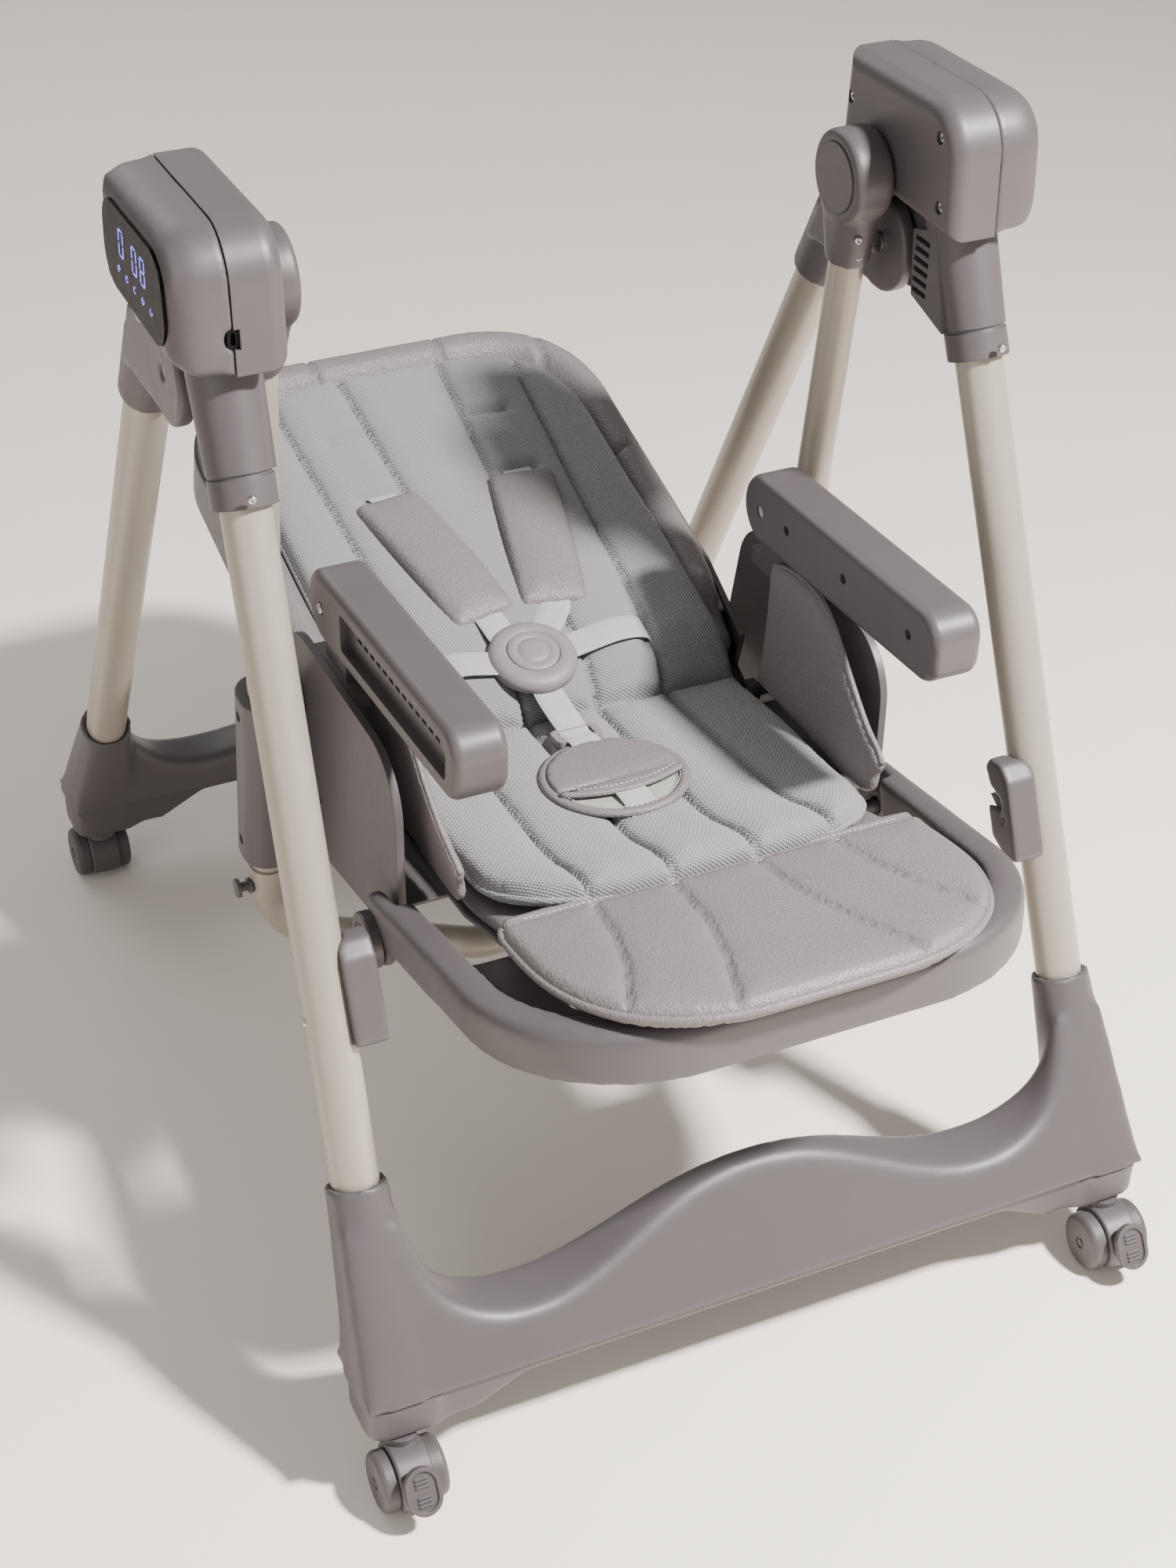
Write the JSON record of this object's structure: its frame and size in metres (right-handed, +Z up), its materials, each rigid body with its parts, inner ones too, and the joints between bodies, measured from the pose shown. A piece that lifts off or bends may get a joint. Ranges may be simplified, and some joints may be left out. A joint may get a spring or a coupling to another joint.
{
  "type": "baby swing",
  "caption": "Electric baby swing on a folding wheeled A-frame: padded reclining seat hung between two drive hubs, with armrests, harness and footrest.",
  "frame": {"origin": "on the floor, at the centre of the footprint's bounding box", "axes": "+Z up, the seat faces -Y, -X is the side with the display"},
  "size_m": [0.648, 0.9011, 0.8468],
  "materials": {
    "frame_plastic": "satin moulded plastic, warm taupe grey, very fine grain",
    "tube_paint": "satin champagne powder coat on steel tube",
    "leatherette": "matt taupe leatherette with a fine pebble grain",
    "liner": "cool grey knitted liner with a small diagonal texture",
    "webbing": "woven 25 mm webbing, light grey",
    "buckle_plastic": "fine-textured moulded plastic, taupe",
    "display_gloss": "high-gloss black panel with violet digits",
    "circuit_board": "green solder mask",
    "dark_plastic": "black moulded plastic",
    "copper": "enamelled copper winding",
    "steel": "zinc-plated steel",
    "wheel_plastic": "hard dark grey wheel with a soft tread"
  },
  "bodies": {
    "stand": {"front_base": "frame_plastic", "front_base_cover": "frame_plastic", "front_legs": "tube_paint", "front_leg_sockets": "frame_plastic", "hub_inner_shells": "frame_plastic", "hub_outer_shells": "frame_plastic", "display_panel": "display_gloss", "control_board": "circuit_board", "usb_port": "dark_plastic", "drive_coil": "copper", "hub_bearings": "steel", "frame_screws": "steel", "lock_hooks": "frame_plastic", "pivot_bolts": "steel"},
    "lever_left": {"lock_lever_left": "frame_plastic"},
    "lever_right": {"lock_lever_right": "frame_plastic"},
    "rear_frame": {"rear_base": "frame_plastic", "rear_base_cover": "frame_plastic", "rear_legs": "tube_paint", "rear_leg_sockets": "frame_plastic"},
    "swing": {"swing_elbows": "frame_plastic", "elbow_caps": "frame_plastic", "swing_shafts": "steel", "drive_magnet": "steel", "swing_arms": "tube_paint", "lower_tube": "tube_paint", "lock_pins": "frame_plastic"},
    "seat": {"height_sleeves": "frame_plastic", "seat_shell": "frame_plastic", "seat_pad": "leatherette", "seat_liner": "liner", "side_wings": "leatherette", "armrest_pins": "steel", "crotch_pad": "leatherette", "crotch_strap": "webbing", "strap_slider": "buckle_plastic"},
    "back": {"back_shell": "frame_plastic", "back_pad": "leatherette", "back_liner": "liner", "shoulder_pads": "leatherette", "harness_straps": "webbing", "buckle_body": "buckle_plastic"},
    "buckle_button": {"buckle_button": "buckle_plastic"},
    "footrest": {"footrest_frame": "frame_plastic", "footrest_discs": "frame_plastic", "calf_pad": "leatherette"},
    "armrest_left": {"armrest_left": "frame_plastic"},
    "armrest_right": {"armrest_right": "frame_plastic"},
    "caster_front_left": {"caster_hood_front_left": "frame_plastic"},
    "wheels_front_left": {"caster_wheels_front_left": "wheel_plastic"},
    "pedal_front_left": {"brake_pedal_front_left": "frame_plastic"},
    "caster_front_right": {"caster_hood_front_right": "frame_plastic"},
    "wheels_front_right": {"caster_wheels_front_right": "wheel_plastic"},
    "pedal_front_right": {"brake_pedal_front_right": "frame_plastic"},
    "caster_rear_left": {"caster_hood_rear_left": "frame_plastic"},
    "wheels_rear_left": {"caster_wheels_rear_left": "wheel_plastic"},
    "pedal_rear_left": {"brake_pedal_rear_left": "frame_plastic"},
    "caster_rear_right": {"caster_hood_rear_right": "frame_plastic"},
    "wheels_rear_right": {"caster_wheels_rear_right": "wheel_plastic"},
    "pedal_rear_right": {"brake_pedal_rear_right": "frame_plastic"}
  },
  "joints": [
    {"name": "swing", "type": "hinge", "parent": "stand", "child": "swing", "pos_m": [0, -0.014, 0.768], "axis": [-1, 0, 0], "range_deg": [-16, 16]},
    {"name": "rear_fold", "type": "hinge", "parent": "stand", "child": "rear_frame", "pos_m": [0, -0.011, 0.71], "axis": [1, 0, 0], "range_deg": [-46, 0]},
    {"name": "seat_height", "type": "slide", "parent": "swing", "child": "seat", "axis": [0, -0.1392, 0.9903], "range_m": [0, 0.09]},
    {"name": "recline", "type": "hinge", "parent": "seat", "child": "back", "pos_m": [0, 0.008, 0.318], "axis": [1, 0, 0], "range_deg": [0, 30]},
    {"name": "footrest_tilt", "type": "hinge", "parent": "seat", "child": "footrest", "pos_m": [0, -0.152, 0.3], "axis": [1, 0, 0], "range_deg": [0, 30]},
    {"name": "armrest_left_lift", "type": "hinge", "parent": "seat", "child": "armrest_left", "pos_m": [0, -0.019, 0.504], "axis": [-1, 0, 0], "range_deg": [0, 85]},
    {"name": "armrest_right_lift", "type": "hinge", "parent": "seat", "child": "armrest_right", "pos_m": [0, -0.019, 0.504], "axis": [-1, 0, 0], "range_deg": [0, 85]},
    {"name": "buckle_press", "type": "slide", "parent": "back", "child": "buckle_button", "axis": [0, 0.2639, -0.9646], "range_m": [0, 0.003], "stiffness_N_per_m": 800},
    {"name": "lock_lever_left", "type": "hinge", "parent": "stand", "child": "lever_left", "pos_m": [-0.258, -0.258, 0.342], "axis": [-1, 0, 0], "range_deg": [0, 15], "stiffness_Nm_per_rad": 0.05},
    {"name": "lock_lever_right", "type": "hinge", "parent": "stand", "child": "lever_right", "pos_m": [0.258, -0.258, 0.342], "axis": [-1, 0, 0], "range_deg": [0, 15], "stiffness_Nm_per_rad": 0.05},
    {"name": "swivel_front_left", "type": "hinge", "parent": "stand", "child": "caster_front_left", "pos_m": [-0.2955, -0.391, 0.05], "axis": [0, 0, 1], "continuous": true},
    {"name": "roll_front_left", "type": "hinge", "parent": "caster_front_left", "child": "wheels_front_left", "pos_m": [-0.2955, -0.404, 0.023], "axis": [1, 0, 0], "continuous": true},
    {"name": "brake_front_left", "type": "hinge", "parent": "caster_front_left", "child": "pedal_front_left", "pos_m": [-0.2955, -0.423, 0.036], "axis": [1, 0, 0], "range_deg": [0, 6]},
    {"name": "swivel_front_right", "type": "hinge", "parent": "stand", "child": "caster_front_right", "pos_m": [0.2955, -0.391, 0.05], "axis": [0, 0, 1], "continuous": true},
    {"name": "roll_front_right", "type": "hinge", "parent": "caster_front_right", "child": "wheels_front_right", "pos_m": [0.2955, -0.404, 0.023], "axis": [1, 0, 0], "continuous": true},
    {"name": "brake_front_right", "type": "hinge", "parent": "caster_front_right", "child": "pedal_front_right", "pos_m": [0.2955, -0.423, 0.036], "axis": [1, 0, 0], "range_deg": [0, 6]},
    {"name": "swivel_rear_left", "type": "hinge", "parent": "rear_frame", "child": "caster_rear_left", "pos_m": [-0.2914, 0.394, 0.05], "axis": [0, 0, 1], "continuous": true},
    {"name": "roll_rear_left", "type": "hinge", "parent": "caster_rear_left", "child": "wheels_rear_left", "pos_m": [-0.2914, 0.407, 0.023], "axis": [1, 0, 0], "continuous": true},
    {"name": "brake_rear_left", "type": "hinge", "parent": "caster_rear_left", "child": "pedal_rear_left", "pos_m": [-0.2914, 0.426, 0.036], "axis": [-1, 0, 0], "range_deg": [0, 6]},
    {"name": "swivel_rear_right", "type": "hinge", "parent": "rear_frame", "child": "caster_rear_right", "pos_m": [0.2914, 0.394, 0.05], "axis": [0, 0, 1], "continuous": true},
    {"name": "roll_rear_right", "type": "hinge", "parent": "caster_rear_right", "child": "wheels_rear_right", "pos_m": [0.2914, 0.407, 0.023], "axis": [1, 0, 0], "continuous": true},
    {"name": "brake_rear_right", "type": "hinge", "parent": "caster_rear_right", "child": "pedal_rear_right", "pos_m": [0.2914, 0.426, 0.036], "axis": [-1, 0, 0], "range_deg": [0, 6]}
  ]
}
